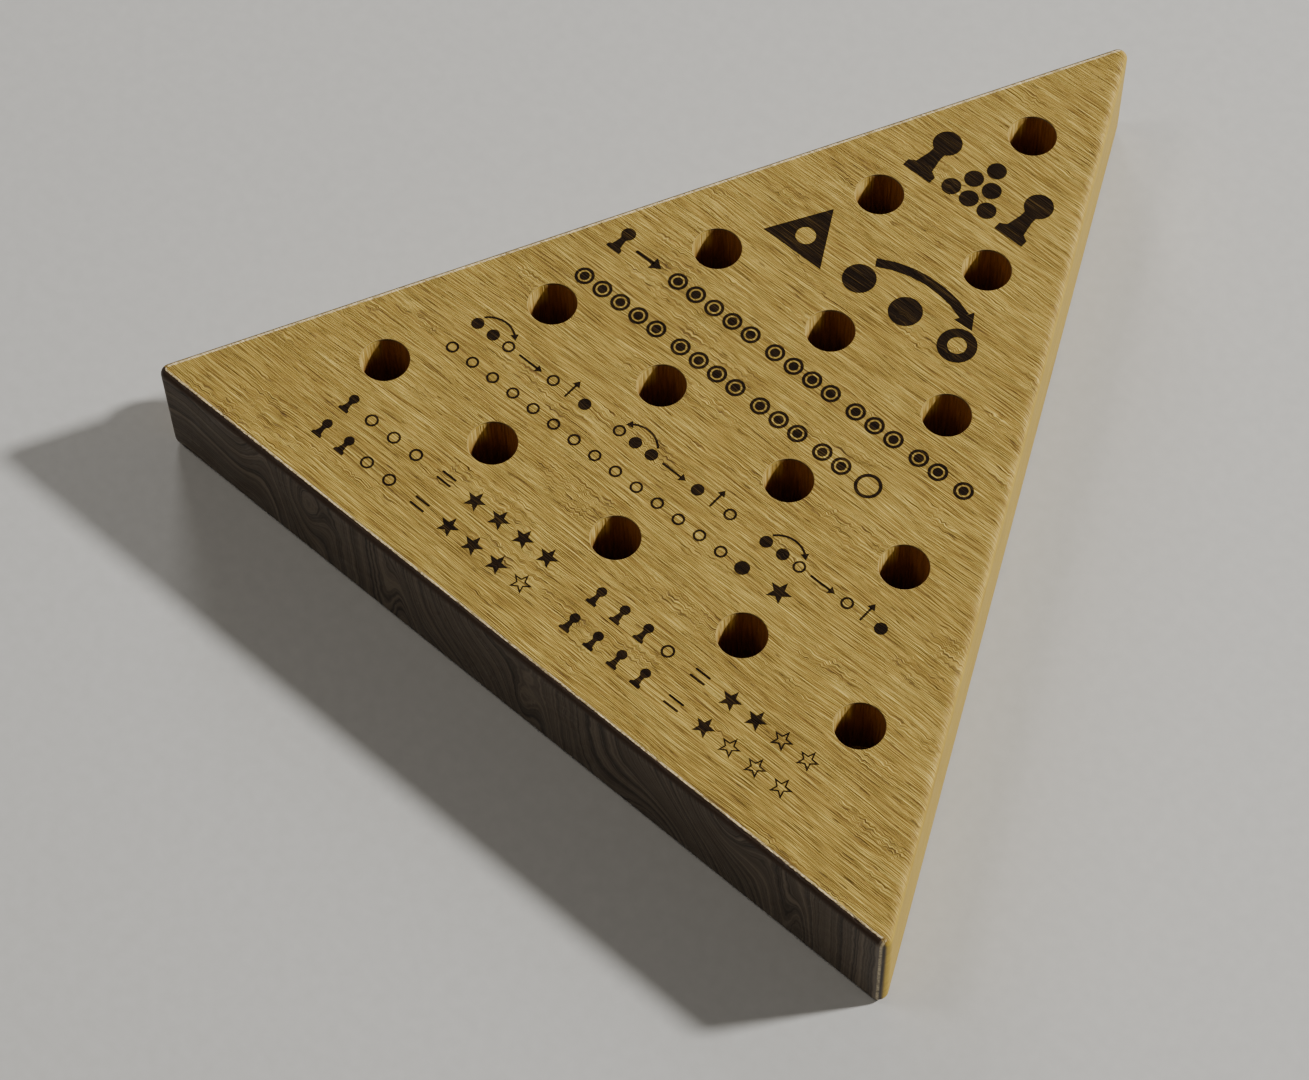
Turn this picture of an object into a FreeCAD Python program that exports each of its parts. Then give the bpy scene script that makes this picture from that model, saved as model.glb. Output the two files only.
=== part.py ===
import FreeCAD, Part
import math
import os

# Triangle peg jump game: a drilled hardwood board, the fourteen dowel pegs kept in a bore
# along its front margin, and the stopper that closes the bore.
# Millimetres. The origin is the centre of the underside's box, +X runs along the front edge,
# +Y runs from the front edge to the apex, and +Z is up.

INCH = 25.4

# Board
BASE = 5.375 * INCH  # front edge, before its corners are rounded
DEPTH = 5.375 * INCH  # front face to the sharp apex
THICKNESS = 0.75 * INCH
EDGE_ROUND = 1.4  # every outer edge and corner

# Play holes, in five rows that narrow towards the apex
ROWS = 5
ROW_PITCH = 22.67
FRONT_MARGIN = 22.57  # front face to the widest row
OUTER_SPREAD = 44.06  # centre line to the end holes of the widest row
INNER_SPREAD = 23.16  # centre line to the holes between, in the widest row
HOLE_RADIUS = 3.55
HOLE_DEPTH = 0.5 * INCH
HOLE_RIM = 0.12
DRILL_POINT_ANGLE = 118.0

# Storage bore, drilled along the front margin from the left side
STORE_RADIUS = 0.5 * 0.5625 * INCH
STORE_AXIS_HEIGHT = 0.5 * THICKNESS
STORE_AXIS_INSET = 0.5 * (FRONT_MARGIN - HOLE_RADIUS)  # from the front face

# Pegs
PEG_RADIUS = 0.125 * INCH
PEG_LENGTH = 0.8125 * INCH
PEG_END_ROUND = 0.8
PEG_COUNT = 14
PEGS_ABREAST = 3
PEG_SPREAD = 3.82  # bore axis to peg axis
PEG_GAP = 0.3  # end to end, and to the bore's end and the stopper

# Stopper
STOPPER_CLEARANCE = 0.05
STOPPER_REACH = 0.5 * INCH  # into the bore, measured on its axis
STOPPER_RECESS = 0.2  # outer face below the board's side
STOPPER_LEAD = 0.8
KNOB_NECK_RADIUS = 1.7
KNOB_HEAD_RADIUS = 2.9
KNOB_HEIGHT = 2.9
KNOB_HEAD_THICKNESS = 1.3
KNOB_ROUND = 0.45
KNOB_ROOT = 3.0  # how far the neck is carried into the plug
KNOB_CAP = 0.2  # how far the neck stops short of the head's face

X_AXIS = FreeCAD.Vector(1, 0, 0)
SIDE_SLOPE = 0.5 * BASE / DEPTH  # sideways step of a side per step towards the apex
SIDE_ANGLE = math.atan(SIDE_SLOPE)
APEX_TRIM = EDGE_ROUND / math.sin(SIDE_ANGLE) - EDGE_ROUND  # lost where the apex is rounded
FRONT_Y = -0.5 * (DEPTH - APEX_TRIM)
STORE_Y = FRONT_Y + STORE_AXIS_INSET
STORE_MOUTH_X = -0.5 * BASE + STORE_AXIS_INSET * SIDE_SLOPE  # the left side, on the bore's axis
PEG_GROUPS = math.ceil(PEG_COUNT / PEGS_ABREAST)
STORE_END_X = STORE_MOUTH_X + STOPPER_REACH + PEG_GAP + PEG_GROUPS * (PEG_LENGTH + PEG_GAP)


def board_blank():
    """The triangular slab with all its edges and corners rounded."""
    corners = [
        FreeCAD.Vector(-0.5 * BASE, FRONT_Y, 0),
        FreeCAD.Vector(0.5 * BASE, FRONT_Y, 0),
        FreeCAD.Vector(0, FRONT_Y + DEPTH, 0),
    ]
    outline = Part.makePolygon(corners + corners[:1])
    slab = Part.Face(outline).extrude(FreeCAD.Vector(0, 0, THICKNESS))
    return slab.makeFillet(EDGE_ROUND, slab.Edges)


def hole_centres():
    """Centres of the play holes, from the front row back. The lines of holes follow the sides."""
    centres = []
    for row in range(ROWS):
        y = FRONT_Y + FRONT_MARGIN + row * ROW_PITCH
        step_in = row * ROW_PITCH * SIDE_SLOPE
        holes = ROWS - row
        spreads = [OUTER_SPREAD - step_in, INNER_SPREAD - step_in][: holes // 2]
        offsets = [-spread for spread in spreads] + spreads
        if holes % 2:
            offsets.append(0.0)
        centres += [(x, y) for x in sorted(offsets)]
    return centres


def play_hole(x, y):
    """The wood that one drilled hole takes away: rounded rim, straight wall and drill point."""
    point = HOLE_RADIUS / math.tan(math.radians(0.5 * DRILL_POINT_ANGLE))
    bottom = THICKNESS - HOLE_DEPTH
    above = THICKNESS + 1.0
    wall = FreeCAD.Vector(HOLE_RADIUS, 0, bottom)
    rim_start = FreeCAD.Vector(HOLE_RADIUS, 0, THICKNESS - HOLE_RIM)
    rim_end = FreeCAD.Vector(HOLE_RADIUS + HOLE_RIM, 0, THICKNESS)
    rim_bulge = HOLE_RIM * (1 - math.sqrt(0.5))
    rim_middle = FreeCAD.Vector(HOLE_RADIUS + rim_bulge, 0, THICKNESS - rim_bulge)
    top_edge = FreeCAD.Vector(HOLE_RADIUS + HOLE_RIM, 0, above)
    top_centre = FreeCAD.Vector(0, 0, above)
    tip = FreeCAD.Vector(0, 0, bottom - point)
    profile = Part.Wire(
        [
            Part.makeLine(tip, wall),
            Part.makeLine(wall, rim_start),
            Part.Arc(rim_start, rim_middle, rim_end).toShape(),
            Part.makeLine(rim_end, top_edge),
            Part.makeLine(top_edge, top_centre),
            Part.makeLine(top_centre, tip),
        ]
    )
    hole = Part.Face(profile).revolve(FreeCAD.Vector(0, 0, 0), FreeCAD.Vector(0, 0, 1), 360)
    hole.translate(FreeCAD.Vector(x, y, 0))
    return hole


def storage_bore():
    """The wood that the storage bore takes away, from outside the left side to its flat end."""
    outside = -0.5 * BASE - 5.0
    start = FreeCAD.Vector(outside, STORE_Y, STORE_AXIS_HEIGHT)
    return Part.makeCylinder(STORE_RADIUS, STORE_END_X - outside, start, X_AXIS)


def make_board():
    board = board_blank()
    for x, y in hole_centres():
        board = board.cut(play_hole(x, y))
    return board.cut(storage_bore())


def make_peg(x, y, z):
    """A dowel peg along X, with rounded ends, centred on a point."""
    start = FreeCAD.Vector(x - 0.5 * PEG_LENGTH, y, z)
    peg = Part.makeCylinder(PEG_RADIUS, PEG_LENGTH, start, X_AXIS)
    ends = [edge for edge in peg.Edges if isinstance(edge.Curve, Part.Circle)]
    return peg.makeFillet(PEG_END_ROUND, ends)


def peg_places():
    """Centres of the stored pegs, from the bore's end to its mouth, three side by side.
    The group at the bore's end holds only what is left over."""
    angles = [math.radians(210), math.radians(330), math.radians(90)]
    places = []
    for group in range(PEG_GROUPS):
        x = STORE_END_X - PEG_GAP - 0.5 * PEG_LENGTH - group * (PEG_LENGTH + PEG_GAP)
        count = PEG_COUNT - PEGS_ABREAST * (PEG_GROUPS - 1) if group == 0 else PEGS_ABREAST
        for angle in angles[:count]:
            y = STORE_Y + PEG_SPREAD * math.cos(angle)
            z = STORE_AXIS_HEIGHT + PEG_SPREAD * math.sin(angle)
            places.append((x, y, z))
    return places


def beyond_left_side(recess):
    """A block of everything outside a plane that lies below the board's left side by recess."""
    shift = recess / math.cos(SIDE_ANGLE)
    size = 2.0 * DEPTH
    block = Part.makeBox(size, size, size, FreeCAD.Vector(-size, -0.5 * size, -0.5 * size))
    block.rotate(FreeCAD.Vector(0, 0, 0), FreeCAD.Vector(0, 0, 1), -math.degrees(SIDE_ANGLE))
    block.translate(FreeCAD.Vector(STORE_MOUTH_X + shift, STORE_Y, STORE_AXIS_HEIGHT))
    return block


def make_stopper():
    """A plug whose outer face is cut to the slant of the board's side, with a turned knob."""
    radius = STORE_RADIUS - STOPPER_CLEARANCE
    inner_end = STORE_MOUTH_X + STOPPER_REACH
    centre = FreeCAD.Vector(inner_end, STORE_Y, STORE_AXIS_HEIGHT)
    plug = Part.makeCylinder(radius, 2.5 * STOPPER_REACH, centre, -X_AXIS)
    lead = [e for e in plug.Edges if abs(e.CenterOfMass.x - inner_end) < 1e-6]
    plug = plug.makeChamfer(STOPPER_LEAD, lead)
    plug = plug.cut(beyond_left_side(STOPPER_RECESS))
    root = FreeCAD.Vector(STORE_MOUTH_X + KNOB_ROOT, STORE_Y, STORE_AXIS_HEIGHT)
    neck = Part.makeCylinder(KNOB_NECK_RADIUS, KNOB_ROOT + KNOB_HEIGHT - KNOB_CAP, root, -X_AXIS)
    head_inner = STORE_MOUTH_X - KNOB_HEIGHT + KNOB_HEAD_THICKNESS
    head_centre = FreeCAD.Vector(head_inner, STORE_Y, STORE_AXIS_HEIGHT)
    head = Part.makeCylinder(KNOB_HEAD_RADIUS, KNOB_HEAD_THICKNESS, head_centre, -X_AXIS)
    rims = [edge for edge in head.Edges if isinstance(edge.Curve, Part.Circle)]
    head = head.makeFillet(KNOB_ROUND, rims)
    return plug.fuse([neck, head]).removeSplitter()


def main():
    parts = {"board": make_board(), "stopper": make_stopper()}
    for number, place in enumerate(peg_places(), start=1):
        parts[f"peg_{number:02d}"] = make_peg(*place)
    os.makedirs("parts", exist_ok=True)
    for name, shape in parts.items():
        solids = len(shape.Solids)
        box = shape.BoundBox
        size = f"{box.XLength:.2f} x {box.YLength:.2f} x {box.ZLength:.2f}"
        print(f"{name}: {solids} solid, valid {shape.isValid()}, {shape.Volume:.1f} mm3, {size} mm")
        shape.exportStep(f"parts/{name}.step")


main()
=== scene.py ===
"""Looks of the triangle peg jump game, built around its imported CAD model.

Everything is in metres in the model's own frame; lengths written in millimetres are multiplied by MM.
"""

import math

import bmesh
import bpy
from mathutils import Matrix, Vector


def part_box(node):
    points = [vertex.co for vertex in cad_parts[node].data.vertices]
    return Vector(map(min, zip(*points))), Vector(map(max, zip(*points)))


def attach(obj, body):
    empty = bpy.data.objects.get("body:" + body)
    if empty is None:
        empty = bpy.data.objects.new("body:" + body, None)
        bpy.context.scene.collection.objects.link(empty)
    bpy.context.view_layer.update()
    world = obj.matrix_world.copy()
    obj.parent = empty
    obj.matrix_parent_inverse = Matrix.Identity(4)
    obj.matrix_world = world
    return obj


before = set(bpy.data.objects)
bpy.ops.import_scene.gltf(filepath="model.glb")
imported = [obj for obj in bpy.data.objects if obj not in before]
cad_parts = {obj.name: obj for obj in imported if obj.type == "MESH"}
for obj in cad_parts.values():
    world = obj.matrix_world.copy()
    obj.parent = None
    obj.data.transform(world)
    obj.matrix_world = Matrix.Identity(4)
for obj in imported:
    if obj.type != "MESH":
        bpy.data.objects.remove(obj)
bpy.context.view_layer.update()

MM = 0.001
BOARD_LOW, BOARD_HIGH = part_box("board")
TOP = BOARD_HIGH.z
HALF_THICKNESS = 0.5 * (BOARD_HIGH.z - BOARD_LOW.z)
FRONT = BOARD_LOW.y
SIDE_SLOPE = 0.5  # sideways step of a side per step towards the apex
FRONT_HALF = 68.26 * MM  # half the front edge, before its corners are rounded

# All azimuths run from +X towards +Y. Azimuths, elevations and the lean are in degrees.
# The camera looks against the direction that its azimuth and elevation give.
CAMERA_PLACE = Vector((187.9, -235.0, 474.7)) * MM
CAMERA_AZIMUTH = -46.49
CAMERA_ELEVATION = 59.66
CAMERA_LEAN = -1.82
LENS_MM = 105.67
SENSOR_MM = 36.0

KEY_AZIMUTH = 48.0
KEY_ELEVATION = 38.0


# ---------------------------------------------------------------- shader nodes


class Shader:
    """A material under construction: each call adds one node and gives its output socket."""

    def __init__(self, name):
        self.material = bpy.data.materials.new(name)
        self.material.use_nodes = True
        self.tree = self.material.node_tree
        self.tree.nodes.clear()
        self.output = self.tree.nodes.new("ShaderNodeOutputMaterial")

    def node(self, kind, inputs=(), **settings):
        made = self.tree.nodes.new(kind)
        for key, value in settings.items():
            setattr(made, key, value)
        for key, value in dict(inputs).items():
            if isinstance(value, bpy.types.NodeSocket):
                self.tree.links.new(value, made.inputs[key])
            elif value is not None:
                made.inputs[key].default_value = value
        return made

    def math(self, operation, first, second=None, third=None):
        inputs = {0: first, 1: second, 2: third}
        return self.node("ShaderNodeMath", inputs, operation=operation).outputs[0]

    def product(self, first, *others):
        for other in others:
            first = self.math("MULTIPLY", first, other)
        return first

    def weighted(self, first, *others):
        """The sum of values times their weights. Each argument is a value and its weight."""
        total = self.math("MULTIPLY", *first)
        for value, weight in others:
            total = self.math("MULTIPLY_ADD", value, weight, total)
        return total

    def scaled(self, vector, factors):
        made = self.node("ShaderNodeVectorMath", {0: vector, 1: factors}, operation="MULTIPLY")
        return made.outputs[0]

    def parts(self, vector):
        return self.node("ShaderNodeSeparateXYZ", {0: vector}).outputs

    def joined(self, x, y, z):
        return self.node("ShaderNodeCombineXYZ", {0: x, 1: y, 2: z}).outputs[0]

    def noise(self, vector, scales, detail=2.0, roughness=0.5):
        """Smooth random values from 0 to 1, with a scale of its own along each axis."""
        place = self.scaled(vector, scales)
        inputs = {"Vector": place, "Scale": 1.0, "Detail": detail, "Roughness": roughness}
        return self.node("ShaderNodeTexNoise", inputs, noise_dimensions="3D").outputs["Fac"]

    def layers(self, value, scale):
        """Smooth random bands of one value."""
        inputs = {"W": value, "Scale": scale, "Detail": 0.0}
        return self.node("ShaderNodeTexNoise", inputs, noise_dimensions="1D").outputs["Fac"]

    def step(self, value, low, high, bottom=0.0, top=1.0):
        """A smooth step: bottom where value is under low, top where it is over high."""
        inputs = {0: value, 1: low, 2: high, 3: bottom, 4: top}
        made = self.node("ShaderNodeMapRange", inputs, interpolation_type="SMOOTHSTEP")
        return made.outputs[0]

    def fade(self, value, low, high):
        """A smooth step down: 1 where value is under low, 0 where it is over high."""
        return self.step(value, low, high, 1.0, 0.0)

    def between(self, value, rise, fall, top=1.0):
        """A plateau: 0 before value enters rise and after it leaves fall, top in between."""
        return self.product(self.step(value, *rise), self.step(value, *fall, top, 0.0))

    def crease(self, value, width):
        """1 along the thin lines where value crosses its middle, 0 elsewhere."""
        distance = self.math("ABSOLUTE", self.math("SUBTRACT", value, 0.5))
        return self.fade(distance, 0.0, width)

    def ramp(self, value, stops):
        made = self.node("ShaderNodeValToRGB", {0: value})
        elements = made.color_ramp.elements
        while len(elements) < len(stops):
            elements.new(1.0)
        for element, (place, colour) in zip(elements, stops):
            element.position = place
            element.color = (*colour, 1.0)
        return made.outputs[0]

    def mix(self, share, first, second):
        """The first colour, with this share of the second one over it."""
        made = self.node("ShaderNodeMix", {0: share}, data_type="RGBA")
        for index, value in ((6, first), (7, second)):
            if isinstance(value, bpy.types.NodeSocket):
                self.tree.links.new(value, made.inputs[index])
            else:
                made.inputs[index].default_value = (*value, 1.0)
        return made.outputs[2]

    def bump(self, height, distance, strength=1.0):
        inputs = {"Height": height, "Distance": distance, "Strength": strength}
        return self.node("ShaderNodeBump", inputs).outputs[0]

    def finish(self, **inputs):
        shader = self.node("ShaderNodeBsdfPrincipled", inputs)
        self.tree.links.new(shader.outputs[0], self.output.inputs[0])
        return self.material


def place_in_mm(shader):
    """Object coordinates in millimetres, as one vector and as its three parts."""
    coordinates = shader.node("ShaderNodeTexCoord").outputs["Object"]
    vector = shader.scaled(coordinates, (1 / MM, 1 / MM, 1 / MM))
    return vector, shader.parts(vector)


# ---------------------------------------------------------------- wood

# Colour ramps and colours
GRAIN_STOPS = (
    (0.34, (0.140, 0.076, 0.011)),
    (0.42, (0.320, 0.200, 0.032)),
    (0.50, (0.485, 0.332, 0.067)),
    (0.60, (0.700, 0.520, 0.126)),
)
PORE_COLOUR = (0.080, 0.036, 0.006)
SIDE_STOPS = ((0.36, (0.320, 0.205, 0.022)), (0.62, (0.435, 0.300, 0.040)))
# Painted shade: the front's ramp is dark because the front faces away from the key light; the rings
# themselves are grain.
SHADED_FRONT_STOPS = (
    (0.32, (0.024, 0.015, 0.008)),
    (0.50, (0.078, 0.056, 0.036)),
    (0.66, (0.132, 0.099, 0.067)),
)
# Painted shade darkens the drilled walls, and painted light makes their mouths pale where they face the key
# light.
SHADED_WALL_STOPS = ((0.35, (0.16, 0.057, 0.013)), (0.65, (0.27, 0.106, 0.028)))
LIT_MOUTH_STOPS = ((0.42, (0.42, 0.272, 0.056)), (0.60, (0.78, 0.580, 0.180)))
RIM_COLOUR = (0.42, 0.30, 0.10)
# Painted highlight: the pale glint lines on the rounded top edges and the right front corner.
PAINTED_HIGHLIGHT_COLOUR = (1.00, 0.82, 0.48)
POLISH_TINT = (1.0, 0.90, 0.70)
WHITE = (1.0, 1.0, 1.0)
# Painted shade for the roundings of the top edges that turn away from the light.
PAINTED_SHADE_COLOUR = (0.040, 0.018, 0.006)
INK_STOPS = ((0.38, (0.007, 0.003, 0.001)), (0.50, (0.015, 0.007, 0.002)), (0.59, (0.070, 0.040, 0.011)))
STOPPER_STOPS = ((0.34, (0.055, 0.022, 0.009)), (0.64, (0.16, 0.075, 0.032)))
PEG_STOPS = ((0.34, (0.48, 0.31, 0.15)), (0.64, (0.68, 0.50, 0.28)))

# Layers of the playing face's grain: scale along and across the fibres per millimetre, seed, detail.
LONG_LINES = (0.038, 3.0, 3.0, 1.0)
SHORT_LINES = (0.11, 4.3, 9.0, 1.0)
PATCHES = (0.035, 0.70, 23.0, 2.0)
FIBRES = (0.095, 5.8, 51.0, 1.0)
HAIRS = (0.17, 9.0, 17.0, 1.0)
BANDS = (0.014, 0.22, 29.0, 2.0)
PORES = (0.30, 2.9, 41.0, 1.0)

GRAIN_DEPTH = 0.50 * MM  # bump distance of the board's relief
INK_GRAIN_DEPTH = 0.40 * MM
POLISH_CHANGE = -0.29  # of the roughness, along the painted highlight lines on the edges
RIM_CHANGE = 0.4  # of the roughness, on the rims of the holes
EDGE_BAND = (1.5, 1.8)  # the rounded edges end between these distances from the sides, in millimetres
HOLES_BEGIN = (1.55, 1.75)  # no hole starts closer to the sides than this

# Eyes, arches and bays in the front's rings:
# centre along X and up, half width, half height, how much it widens upwards, strength.
RING_SWELLS = (
    ((-39.0, 14.5), 3.3, 9.0, 0.5, 7.5),
    ((-20.0, 1.0), 2.2, 14.0, -0.3, -5.5),
    ((-5.0, 21.0), 7.5, 9.5, 0.0, 11.0),
    ((2.0, 6.0), 3.5, 9.0, 0.4, 4.5),
    ((-11.0, -3.0), 8.0, 9.0, 0.0, -9.0),
    ((30.0, -1.0), 9.0, 12.5, -0.15, -17.0),
    ((38.0, 21.0), 6.5, 13.0, 0.1, 14.0),
    ((53.4, 3.0), 1.9, 10.0, -0.2, -4.5),
)


def fibre_noise(shader, x, across, layer):
    """Noise drawn out along the fibres."""
    along_scale, across_scale, seed, detail = layer
    return shader.noise(shader.joined(x, across, seed), (along_scale, across_scale, 1.0), detail, 0.55)


def playing_face_grain(shader, vector, x, y):
    """Long fibres along X with feathered spots and short dark pores: a tone, the pores and a height."""
    sway = shader.noise(vector, (0.011, 0.030, 0.030))
    drift = shader.noise(vector, (0.050, 0.12, 0.12))
    curl = shader.noise(vector, (0.30, 0.16, 0.16), 1.0)
    curl_where = shader.step(shader.noise(vector, (0.07, 0.20, 0.20)), 0.53, 0.64)
    offset = shader.math("MULTIPLY_ADD", sway, 2.6, -1.3)
    offset = shader.math("MULTIPLY_ADD", drift, 1.2, offset)
    feather = shader.math("PINGPONG", shader.math("MULTIPLY", curl, 6.0), 0.5)
    feather = shader.product(feather, curl_where, 0.50)
    across = shader.math("ADD", shader.math("ADD", y, offset), feather)

    # Thin dark lines, long ones in some patches and short ones in the others.
    patches = fibre_noise(shader, x, across, PATCHES)
    long_lines = shader.crease(fibre_noise(shader, x, across, LONG_LINES), 0.085)
    long_lines = shader.product(long_lines, shader.step(patches, 0.36, 0.60, 0.45, 1.0))
    short_lines = shader.crease(fibre_noise(shader, x, across, SHORT_LINES), 0.100)
    short_lines = shader.product(short_lines, shader.step(patches, 0.38, 0.62, 1.0, 0.45))
    lines = shader.math("MAXIMUM", long_lines, short_lines)

    fibre = fibre_noise(shader, x, across, FIBRES)
    hair = fibre_noise(shader, x, across, HAIRS)
    band = fibre_noise(shader, x, across, BANDS)
    pore = shader.math("MULTIPLY_ADD", curl_where, 0.07, fibre_noise(shader, x, across, PORES))
    pore = shader.step(pore, 0.65, 0.74)

    tone = shader.weighted((band, 0.09), (fibre, 0.38), (hair, 0.50), (lines, -0.055))
    height = shader.weighted((fibre, 0.40), (hair, 0.30), (lines, -0.17), (pore, -0.16))
    return tone, pore, height


def ring_figure(shader, vector, along, up):
    """Growth rings cut lengthwise, as on the board's front: lines of equal value of one smooth field."""
    # The rings lie flat at the left corner and stand upright over the rest.
    flat = shader.math("MULTIPLY_ADD", shader.math("SINE", shader.math("MULTIPLY", along, 0.33)), 0.9, -56.0)
    flat = shader.math("MULTIPLY_ADD", up, 0.9, flat)
    upright = shader.step(along, -52.0, -42.0)
    field = shader.math("MULTIPLY_ADD", shader.math("SUBTRACT", along, flat), upright, flat)
    for place, width, height, taper, amount in RING_SWELLS:
        widening = width * taper / (HALF_THICKNESS / MM)
        spread = shader.math("MULTIPLY_ADD", up, widening, width * (1 - taper))
        off_x = shader.math("DIVIDE", shader.math("SUBTRACT", along, place[0]), spread)
        off_z = shader.math("MULTIPLY", shader.math("SUBTRACT", up, place[1]), 1 / height)
        squared = shader.math("MULTIPLY_ADD", off_x, off_x, shader.math("MULTIPLY", off_z, off_z))
        swell = shader.math("EXPONENT", shader.math("MULTIPLY", squared, -1.0))
        field = shader.math("MULTIPLY_ADD", swell, amount, field)
    waver = shader.noise(vector, (0.35, 0.35, 0.35))
    field = shader.math("MULTIPLY_ADD", waver, 0.9, field)
    broad = shader.layers(field, 0.8)
    fine = shader.layers(shader.math("ADD", field, 31.0), 2.4)
    hair = shader.layers(shader.math("ADD", field, 57.0), 6.5)
    return shader.weighted((fine, 0.35), (broad, 0.40), (hair, 0.25))


def drilled_wall(shader, vector, normal, below):
    """Colour and streaks of the drilled walls: painted shade makes them dark, and painted light makes them
    pale near the mouth on the side that faces the key light.
    """
    streak = shader.noise(vector, (3.2, 3.2, 0.16), 3.0)
    azimuth = math.radians(KEY_AZIMUTH)
    lit = shader.weighted((normal[0], math.cos(azimuth)), (normal[1], math.sin(azimuth)))
    # Painted light: the mouth is pale only on the wall that faces the key light.
    painted_light_mouth = shader.product(shader.fade(below, 1.6, 5.8), shader.step(lit, 0.0, 0.35))
    colour = shader.mix(painted_light_mouth, shader.ramp(streak, SHADED_WALL_STOPS), shader.ramp(streak, LIT_MOUTH_STOPS))
    return colour, streak


def side_wood(shader, vector):
    """Colour of the smooth left and right sides and of the underside."""
    soft = shader.noise(vector, (0.06, 0.06, 0.8))
    thin = shader.noise(vector, (0.30, 0.30, 5.0), 3.0, 0.6)
    return shader.ramp(shader.weighted((soft, 0.45), (thin, 0.55)), SIDE_STOPS)


def edge_highlight_and_shade(shader, vector, normal, inward, below):
    """Painted highlight lines along the front and left top edges and the right front corner, and the painted
    shade of a dark band that runs below the lines on the top edges."""
    # Tilt runs from 0 on the upright sides to 1 on the flat top. It jitters a little, so the lines waver.
    jitter = shader.noise(vector, (2.0, 2.0, 2.0), 3.0, 0.6)
    tilt = shader.math("ADD", normal[2], shader.math("MULTIPLY_ADD", jitter, 0.05, -0.025))
    front_line = shader.between(tilt, (0.885, 0.910), (0.955, 0.975))
    # Painted shade: a dark band where the front and left roundings turn away from the key light.
    front_shade_band = shader.between(tilt, (0.10, 0.55), (0.89, 0.94))
    left_line = shader.between(tilt, (0.84, 0.89), (0.970, 0.985))
    left_shade_band = shader.between(tilt, (0.20, 0.70), (0.82, 0.88), 0.7)
    on_front = shader.step(shader.math("MULTIPLY", normal[1], -1.0), 0.10, 0.20)
    on_front = shader.product(on_front, shader.fade(normal[0], 0.15, 0.30))
    on_left = shader.product(shader.step(normal[1], 0.0, 0.08), shader.fade(normal[0], -0.10, -0.02))
    near_edge = shader.fade(inward, *EDGE_BAND)
    on_top_edge = shader.product(shader.fade(below, 1.6, 2.0), near_edge)

    # Painted highlight: pale glint lines on the roundings of the front and left top edges.
    painted_highlight = shader.math("MULTIPLY_ADD", left_line, on_left, shader.product(front_line, on_front))
    painted_highlight = shader.product(painted_highlight, on_top_edge)
    painted_shade = shader.math("MULTIPLY_ADD", left_shade_band, on_left, shader.product(front_shade_band, on_front))
    painted_shade = shader.product(painted_shade, on_top_edge)

    # Painted highlight: a glint line down the right front corner.
    corner_line = shader.between(normal[0], (0.36, 0.46), (0.58, 0.70), 0.5)
    steep = shader.fade(normal[2], 0.75, 0.90)
    on_corner = shader.product(shader.fade(normal[1], -0.3, 0.0), steep, near_edge)
    painted_highlight = shader.math("MULTIPLY_ADD", corner_line, on_corner, painted_highlight)

    # The painted highlight lines are broken up into separate glints.
    broken = shader.step(shader.noise(vector, (0.8, 1.6, 1.6), 4.0, 0.75), 0.38, 0.50, 0.30, 1.0)
    broken = shader.product(broken, shader.step(jitter, 0.36, 0.56, 0.45, 1.0))
    return shader.product(painted_highlight, broken), painted_shade


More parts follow.
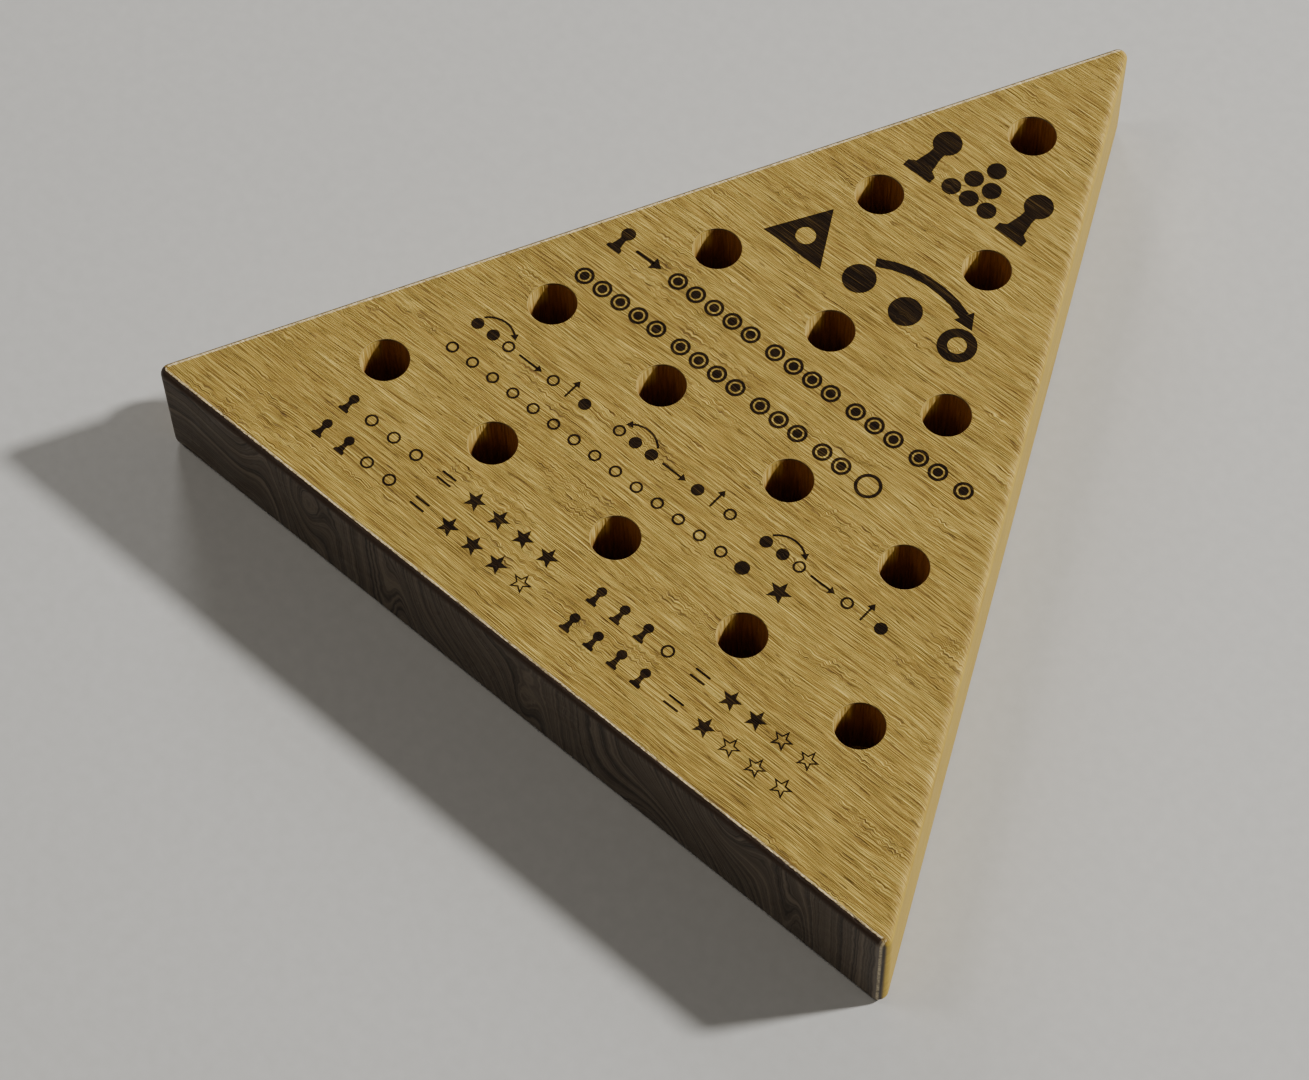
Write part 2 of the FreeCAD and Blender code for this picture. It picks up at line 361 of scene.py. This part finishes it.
def board_wood():
    """The board: golden grain on top, a ringed front painted dark as shade, smooth sides, drilled walls
    painted dark as shade with painted light near their lit mouths, and painted highlights and painted shade
    along the top edges.
    """
    shader = Shader("board_wood")
    vector, (x, y, z) = place_in_mm(shader)
    normal = shader.parts(shader.node("ShaderNodeNewGeometry").outputs["Normal"])

    # Distances in millimetres: in from the nearest side, and down from the top.
    from_front = shader.math("SUBTRACT", y, FRONT / MM)
    half_width = shader.math("MULTIPLY_ADD", from_front, -SIDE_SLOPE, FRONT_HALF / MM)
    from_side = shader.math("SUBTRACT", half_width, shader.math("ABSOLUTE", x))
    from_side = shader.math("MULTIPLY", from_side, 1 / math.hypot(1.0, SIDE_SLOPE))
    inward = shader.math("MINIMUM", from_front, from_side)
    below = shader.math("SUBTRACT", TOP / MM, z)

    # Where each kind of surface is, from 0 to 1, told by the way it faces and by its place.
    upward = shader.step(normal[2], 0.30, 0.80)
    frontward = shader.step(shader.math("MULTIPLY", normal[1], -1.0), 0.30, 0.66)
    inside = shader.step(inward, *HOLES_BEGIN)
    drilled = shader.product(inside, shader.step(below, 0.12, 0.6), shader.step(z, 0.5, 1.5))
    rim = shader.product(shader.between(normal[2], (0.05, 0.25), (0.88, 0.98)), inside)

    tone, pore, height = playing_face_grain(shader, vector, x, y)
    top_colour = shader.ramp(tone, GRAIN_STOPS)
    top_colour = shader.mix(shader.math("MULTIPLY", pore, 0.66), top_colour, PORE_COLOUR)
    rings = ring_figure(shader, vector, x, z)
    wall_colour, streak = drilled_wall(shader, vector, normal, below)
    painted_highlight, painted_shade = edge_highlight_and_shade(shader, vector, normal, inward, below)

    colour = shader.mix(upward, side_wood(shader, vector), top_colour)
    # Painted shade: the front gets a dark ramp because it faces away from the key light.
    colour = shader.mix(frontward, colour, shader.ramp(rings, SHADED_FRONT_STOPS))
    # Painted shade: a dark band on the roundings below the painted highlight lines.
    colour = shader.mix(painted_shade, colour, PAINTED_SHADE_COLOUR)
    # Painted highlight along the top edges and the right front corner.
    colour = shader.mix(painted_highlight, colour, PAINTED_HIGHLIGHT_COLOUR)
    # The drilled walls carry painted shade, with painted light at their lit mouths.
    colour = shader.mix(drilled, colour, wall_colour)
    colour = shader.mix(rim, colour, RIM_COLOUR)

    relief = shader.product(height, shader.step(normal[2], 0.55, 0.95))
    relief = shader.math("MULTIPLY_ADD", shader.product(rings, frontward), 0.12, relief)
    relief = shader.math("MULTIPLY_ADD", shader.product(streak, drilled), 0.5, relief)
    roughness = shader.step(tone, 0.3, 0.7, 0.62, 0.46)
    roughness = shader.math("MULTIPLY_ADD", painted_highlight, POLISH_CHANGE, roughness)
    roughness = shader.math("MULTIPLY_ADD", rim, RIM_CHANGE, roughness)
    return shader.finish(
        **{
            "Base Color": colour,
            "Roughness": roughness,
            "Specular Tint": shader.mix(painted_highlight, WHITE, POLISH_TINT),
            "Normal": shader.bump(relief, GRAIN_DEPTH),
            "IOR": 1.4,
        }
    )


def turned_wood(name, stops, scale, roughness):
    """Straight-grained wood for the pegs and the stopper, with its fibres along X."""
    shader = Shader(name)
    _, (x, y, z) = place_in_mm(shader)
    random = shader.node("ShaderNodeObjectInfo").outputs["Random"]
    shift = shader.math("MULTIPLY", random, 37.0)
    place = shader.joined(x, shader.math("ADD", y, shift), z)
    fibre = shader.noise(place, (0.09, scale, scale), 4.0, 0.65)
    fine = shader.noise(place, (0.54, 4.0 * scale, 4.0 * scale))
    tone = shader.weighted((fibre, 0.65), (fine, 0.35))
    return shader.finish(
        **{
            "Base Color": shader.ramp(tone, stops),
            "Roughness": roughness,
            "Normal": shader.bump(tone, 0.1 * MM, 0.6),
            "IOR": 1.45,
        }
    )


def ink_wood():
    """Dark brown ink that has soaked into the grain, so the grain still shows faintly."""
    shader = Shader("ink_wood")
    vector, (x, y, _) = place_in_mm(shader)
    tone, _, height = playing_face_grain(shader, vector, x, y)
    return shader.finish(
        **{
            "Base Color": shader.ramp(tone, INK_STOPS),
            "Roughness": 0.7,
            "Normal": shader.bump(height, INK_GRAIN_DEPTH),
            "IOR": 1.2,
        }
    )


# ---------------------------------------------------------------- marks

INK_LIFT = 0.03 * MM  # how far the ink stands above the wood
INK_SINK = 0.03 * MM  # how far it reaches into the wood
ROUND_STEPS = 40  # sides of a full circle
BOARD_SIGN_STEPS = 36  # points round the board sign, a multiple of three
ARROW_HEAD_LENGTH = 1.5  # of a straight arrow, against half the head's width
HOP_HEAD_LENGTH = 1.7  # the same for an arched arrow
STAR_WAIST = 0.42  # inner radius of a star against its outer one
STAR_HOLLOW = 0.66  # the open part of a hollow star against the whole

ROW_SIZES = (5, 4, 3, 2, 1)  # holes in the board's rows
SET_UP_LEFT = -34.0  # left end of the two lines about setting up
SET_UP_MIDDLE = 2.1  # their middle above the baseline


class Mark:
    """A line of picture signs. Places are in millimetres from the line's left end and baseline."""

    def __init__(self, name, left, baseline):
        self.name = name
        self.left = left
        self.baseline = baseline
        self.mesh = bmesh.new()

    def vertex(self, point):
        x, y = point
        return self.mesh.verts.new(((self.left + x) * MM, FRONT + (self.baseline + y) * MM, TOP - INK_SINK))

    def fill(self, points):
        """A closed shape from its outline."""
        self.mesh.faces.new([self.vertex(point) for point in points])

    def strip(self, first, second, closed=False):
        """A band between two rows of points."""
        lower = [self.vertex(point) for point in first]
        upper = [self.vertex(point) for point in second]
        count = len(lower)
        for index in range(count if closed else count - 1):
            after = (index + 1) % count
            self.mesh.faces.new((lower[index], lower[after], upper[after], upper[index]))

    def disc(self, x, y, radius):
        self.fill(arc_points(x, y, radius, 0, 360)[:-1])

    def ring(self, x, y, radius, width):
        outer = arc_points(x, y, radius, 0, 360)[:-1]
        inner = arc_points(x, y, radius - width, 0, 360)[:-1]
        self.strip(outer, inner, closed=True)

    def bar(self, x0, y0, x1, y1, width):
        """A straight stroke with round ends."""
        heading = math.degrees(math.atan2(y1 - y0, x1 - x0))
        radius = 0.5 * width
        far = arc_points(x1, y1, radius, heading - 90, heading + 90)
        near = arc_points(x0, y0, radius, heading + 90, heading + 270)
        self.fill(far + near)

    def arrow_head(self, base_x, base_y, tip_x, tip_y, head):
        """A triangle from the middle of its base to its tip. Head is half the base's width."""
        heading = math.atan2(tip_y - base_y, tip_x - base_x)
        side_x, side_y = head * math.sin(heading), head * math.cos(heading)
        left = (base_x - side_x, base_y + side_y)
        right = (base_x + side_x, base_y - side_y)
        self.fill([left, (tip_x, tip_y), right])

    def arrow(self, x0, y0, x1, y1, width, head):
        """A straight arrow."""
        heading = math.atan2(y1 - y0, x1 - x0)
        base_x = x1 - ARROW_HEAD_LENGTH * head * math.cos(heading)
        base_y = y1 - ARROW_HEAD_LENGTH * head * math.sin(heading)
        self.bar(x0, y0, base_x, base_y, width)
        self.arrow_head(base_x, base_y, x1, y1, head)

    def hop(self, x0, x1, y, rise, width, head):
        """An arched arrow from x0 to x1: a round arc that starts and comes down on height y."""
        half = 0.5 * (x1 - x0)
        radius = (half * half + rise * rise) / (2 * rise)
        middle = 0.5 * (x0 + x1)
        low = y + rise - radius
        spread = math.degrees(math.asin(abs(half) / radius))
        way = 1 if x1 > x0 else -1
        start = 90 + way * spread
        end = 90 - way * (spread - math.degrees(HOP_HEAD_LENGTH * head / radius))
        shaft = [arc_points(middle, low, radius + side * 0.5 * width, start, end) for side in (1, -1)]
        self.strip(*shaft)
        base_x = middle + radius * math.cos(math.radians(end))
        base_y = low + radius * math.sin(math.radians(end))
        self.arrow_head(base_x, base_y, x1, y, head)

    def pawn(self, x, height):
        """A game peg seen from the side: a ball on a flared stem. It stands on the baseline."""
        ball = 0.235 * height
        centre = height - ball
        neck = 0.11 * height
        neck_foot = 0.45 * height
        foot = 0.27 * height
        foot_top = 0.13 * height
        flare = 0.6 * foot
        flare_top = foot_top + 0.06 * height
        turn = math.degrees(math.asin(neck / ball))
        head = arc_points(x, centre, ball, -90 + turn, 270 - turn)
        profile = [(neck, neck_foot), (flare, flare_top), (foot, foot_top), (foot, 0.0)]
        left = [(x - reach, y) for reach, y in profile]
        right = [(x + reach, y) for reach, y in reversed(profile)]
        self.fill(head + left + right)

    def star(self, x, y, radius):
        self.fill(star_points(x, y, radius))

    def hollow_star(self, x, y, radius):
        self.strip(star_points(x, y, radius), star_points(x, y, STAR_HOLLOW * radius), closed=True)

    def drilled_board(self, x, y, reach, hole):
        """The board as a bold three-cornered plate with one round hole."""
        outer, inner = [], []
        for step in range(BOARD_SIGN_STEPS):
            turn = step * 360 / BOARD_SIGN_STEPS
            angle = math.radians(90 + turn)
            edge = 0.5 * reach / math.cos(math.radians(turn % 120 - 60))
            outer.append((x + edge * math.cos(angle), y + edge * math.sin(angle)))
            inner.append((x + hole * math.cos(angle), y + hole * math.sin(angle)))
        self.strip(outer, inner, closed=True)

    def finish(self, material):
        """Gives the outlines their thickness and makes them one piece that rides on the board."""
        faces = self.mesh.faces[:]
        grown = bmesh.ops.extrude_face_region(self.mesh, geom=faces)["geom"]
        raised = [item for item in grown if isinstance(item, bmesh.types.BMVert)]
        bmesh.ops.translate(self.mesh, verts=raised, vec=(0, 0, INK_SINK + INK_LIFT))
        bmesh.ops.recalc_face_normals(self.mesh, faces=self.mesh.faces)
        data = bpy.data.meshes.new(self.name)
        self.mesh.to_mesh(data)
        self.mesh.free()
        data.materials.append(material)
        piece = bpy.data.objects.new(self.name, data)
        bpy.context.scene.collection.objects.link(piece)
        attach(piece, "board")


def star_points(x, y, radius):
    """The outline of a five-pointed star that stands on two of its points."""
    points = []
    for step in range(10):
        reach = radius if step % 2 == 0 else STAR_WAIST * radius
        angle = math.radians(90 + 36 * step)
        points.append((x + reach * math.cos(angle), y + reach * math.sin(angle)))
    return points


def arc_points(x, y, radius, start, end):
    """Points along an arc, in degrees, both ends included."""
    steps = max(2, round(abs(end - start) / 360 * ROUND_STEPS))
    angles = [math.radians(start + (end - start) * step / steps) for step in range(steps + 1)]
    return [(x + radius * math.cos(angle), y + radius * math.sin(angle)) for angle in angles]


def draw_marks(material):
    """Picture signs in place of words: how the game is set up, played and scored."""
    draw_titles(material)
    draw_set_up_lines(material)
    draw_jump_line(material)
    draw_win_line(material)
    draw_score_lines(material)


def draw_titles(material):
    """Two bold lines: a small triangle of dots between pegs, and a peg that jumps another into a hole."""
    peg_height, dot, dot_pitch, dot_row_pitch = 9.3, 1.45, 3.3, 3.2
    apex_x, apex_y = 11.45, 8.0
    pegs = Mark("mark_title_pegs", -11.3, 96.9)
    pegs.pawn(2.9, peg_height)
    for row in range(3):
        for place in range(row + 1):
            pegs.disc(apex_x + (place - 0.5 * row) * dot_pitch, apex_y - row * dot_row_pitch, dot)
    pegs.pawn(20.0, peg_height)
    pegs.finish(material)

    peg, hole, stroke = 2.5, 2.9, 1.5
    jumper_x, jumped_x, hole_x = 15.6, 24.2, 33.4
    jump = Mark("mark_title_jump", -18.3, 74.9)
    jump.drilled_board(5.0, 3.1, reach=6.2, hole=1.5)
    jump.disc(jumper_x, peg, peg)
    jump.disc(jumped_x, peg, peg)
    jump.hop(jumper_x, hole_x, y=6.2, rise=2.5, width=stroke, head=1.6)
    jump.ring(hole_x, hole, hole, stroke)
    jump.finish(material)


def draw_filled_rows(mark, x, sizes):
    """Holes with a peg in each, seen from above, row after row. Gives where the next row would start."""
    radius, stroke, pitch, gap = 1.45, 0.45, 3.45, 1.15
    for size in sizes:
        for _ in range(size):
            mark.ring(x, SET_UP_MIDDLE, radius, stroke)
            mark.disc(x, SET_UP_MIDDLE, 0.5 * radius)
            x += pitch
        x += gap
    return x


def draw_set_up_lines(material):
    """Every hole gets a peg, row by row; then one hole is left open."""
    full = Mark("mark_rule_fill", SET_UP_LEFT, 57.8)
    full.pawn(1.4, 4.6)
    full.arrow(4.4, SET_UP_MIDDLE, 9.0, SET_UP_MIDDLE, width=0.5, head=1.1)
    draw_filled_rows(full, 12.2, ROW_SIZES)
    full.finish(material)

    one_open = Mark("mark_rule_open", SET_UP_LEFT, 49.7)
    x = draw_filled_rows(one_open, 1.5, ROW_SIZES[:-1])
    one_open.ring(x + 0.3, SET_UP_MIDDLE, 2.0, 0.5)
    one_open.finish(material)


def draw_jump_line(material):
    """Three jumps, each before and after. A peg jumps over its neighbour, which is taken out."""
    radius, pitch, stroke, head = 0.95, 3.0, 0.32, 0.65
    jump_pitch, arrow_from, arrow_to, after_from = 27.2, 2.2, 6.4, 8.6
    jump = Mark("mark_rule_jump", -39.4, 34.8)
    for step in range(3):
        way = 1 if step % 2 == 0 else -1
        left = 1.0 + step * jump_pitch
        jumper, jumped, hole = [left + place * pitch for place in range(3)][::way]
        jump.disc(jumper, radius, radius)
        jump.disc(jumped, radius, radius)
        jump.ring(hole, radius, radius, stroke)
        jump.hop(jumper, hole, y=2.3, rise=1.4, width=stroke, head=0.6)
        right = left + 2 * pitch
        jump.arrow(right + arrow_from, radius, right + arrow_to, radius, stroke, head)
        left_open, taken, landed = [right + after_from + place * pitch for place in range(3)][::way]
        jump.ring(left_open, radius, radius, stroke)
        jump.arrow(taken, 0.2, taken, 3.4, stroke, head)
        jump.disc(landed, radius, radius)
    jump.finish(material)


def draw_win_line(material):
    """The game won: every hole is empty but one, and a star."""
    radius, stroke, pitch, empty = 0.95, 0.32, 3.9, 14
    win = Mark("mark_rule_win", -39.3, 29.5)
    for step in range(empty):
        win.ring(radius + step * pitch, radius, radius, stroke)
    win.disc(radius + empty * pitch, radius, 1.1)
    win.star(radius + (empty + 1) * pitch + 2.4, 1.4, 1.9)
    win.finish(material)


def draw_score_lines(material):
    """Pegs left in four holes, and what they are worth in stars: the fewer pegs, the more stars."""
    holes, first_hole, hole_pitch, first_star, star_pitch = 4, 1.0, 4.3, 25.2, 4.55
    middle, stroke = 1.55, 0.32
    for pegs, left, baseline in ((1, -43.7, 12.5), (2, -43.7, 7.1), (3, 3.4, 12.5), (4, 3.4, 7.1)):
        score = Mark(f"mark_score_{pegs}", left, baseline)
        for step in range(holes):
            hole_x = first_hole + step * hole_pitch
            if step < pegs:
                score.pawn(hole_x, 3.2)
            else:
                score.ring(hole_x, middle, 1.0, stroke)
            star = score.star if step < holes + 1 - pegs else score.hollow_star
            star(first_star + step * star_pitch, middle, 1.7)
        for height in (-0.6, 0.6):
            score.bar(18.6, middle + height, 20.9, middle + height, stroke)
        score.finish(material)


# ---------------------------------------------------------------- stage

FLOOR_STOPS = ((0.3, (0.50, 0.50, 0.49)), (0.7, (0.53, 0.53, 0.52)))
FLOOR_SIZE = 8.0
FLOOR_GAP = 0.02 * MM  # under the board
LIGHT_DISTANCE = 1.6  # from the frame's origin
WORLD_COLOUR = (0.88, 0.87, 0.86, 1.0)
WORLD_STRENGTH = 0.10


def add_floor():
    shader = Shader("floor_plain")
    vector, _ = place_in_mm(shader)
    colour = shader.ramp(shader.noise(vector, (0.5, 0.5, 0.5), 3.0), FLOOR_STOPS)
    material = shader.finish(**{"Base Color": colour, "Roughness": 0.85})
    bpy.ops.mesh.primitive_plane_add(size=FLOOR_SIZE, location=(0, 0, BOARD_LOW.z - FLOOR_GAP))
    floor = bpy.context.object
    floor.name = "floor"
    floor.data.materials.append(material)


def direction_of(azimuth, elevation):
    """The unit vector that points from the board towards an azimuth and elevation."""
    turn, rise = math.radians(azimuth), math.radians(elevation)
    return Vector((math.cos(turn) * math.cos(rise), math.sin(turn) * math.cos(rise), math.sin(rise)))


def add_light(name, azimuth, elevation, size, power, colour):
    """A round soft light that shines at the frame's origin."""
    data = bpy.data.lights.new(name, "AREA")
    data.shape = "DISK"
    data.size = size
    data.energy = power
    data.color = colour
    light = bpy.data.objects.new(name, data)
    bpy.context.scene.collection.objects.link(light)
    direction = direction_of(azimuth, elevation)
    light.location = direction * LIGHT_DISTANCE
    light.rotation_mode = "QUATERNION"
    light.rotation_quaternion = direction.to_track_quat("Z", "Y")


def add_lights():
    add_light("key", KEY_AZIMUTH, KEY_ELEVATION, size=0.16, power=36.0, colour=(1.0, 0.98, 0.94))
    add_light("front_fill", -142.0, 62.0, size=0.35, power=4.6, colour=(1.0, 0.92, 0.80))
    add_light("rim", 143.0, 24.0, size=0.50, power=8.0, colour=(1.0, 0.98, 0.96))
    world = bpy.data.worlds.new("studio")
    world.use_nodes = True
    background = world.node_tree.nodes["Background"]
    background.inputs["Color"].default_value = WORLD_COLOUR
    background.inputs["Strength"].default_value = WORLD_STRENGTH
    bpy.context.scene.world = world


def add_camera():
    data = bpy.data.cameras.new("camera")
    data.lens = LENS_MM
    data.sensor_width = SENSOR_MM
    data.clip_start = 0.01
    camera = bpy.data.objects.new("camera", data)
    bpy.context.scene.collection.objects.link(camera)
    back = direction_of(CAMERA_AZIMUTH, CAMERA_ELEVATION)
    upright = back.to_track_quat("Z", "Y").to_matrix()
    lean = Matrix.Rotation(math.radians(CAMERA_LEAN), 3, "Z")
    camera.matrix_world = Matrix.Translation(CAMERA_PLACE) @ (upright @ lean).to_4x4()
    bpy.context.scene.camera = camera


def dress(node, material):
    """Gives a CAD node its material."""
    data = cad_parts[node].data
    data.materials.clear()
    data.materials.append(material)


def main():
    add_camera()
    add_floor()
    add_lights()
    dress("board", board_wood())
    dress("stopper", turned_wood("stopper_wood", STOPPER_STOPS, scale=1.6, roughness=0.42))
    peg_wood = turned_wood("peg_wood", PEG_STOPS, scale=1.3, roughness=0.5)
    for node in sorted(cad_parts):
        if node.startswith("peg_"):
            dress(node, peg_wood)
    draw_marks(ink_wood())


main()
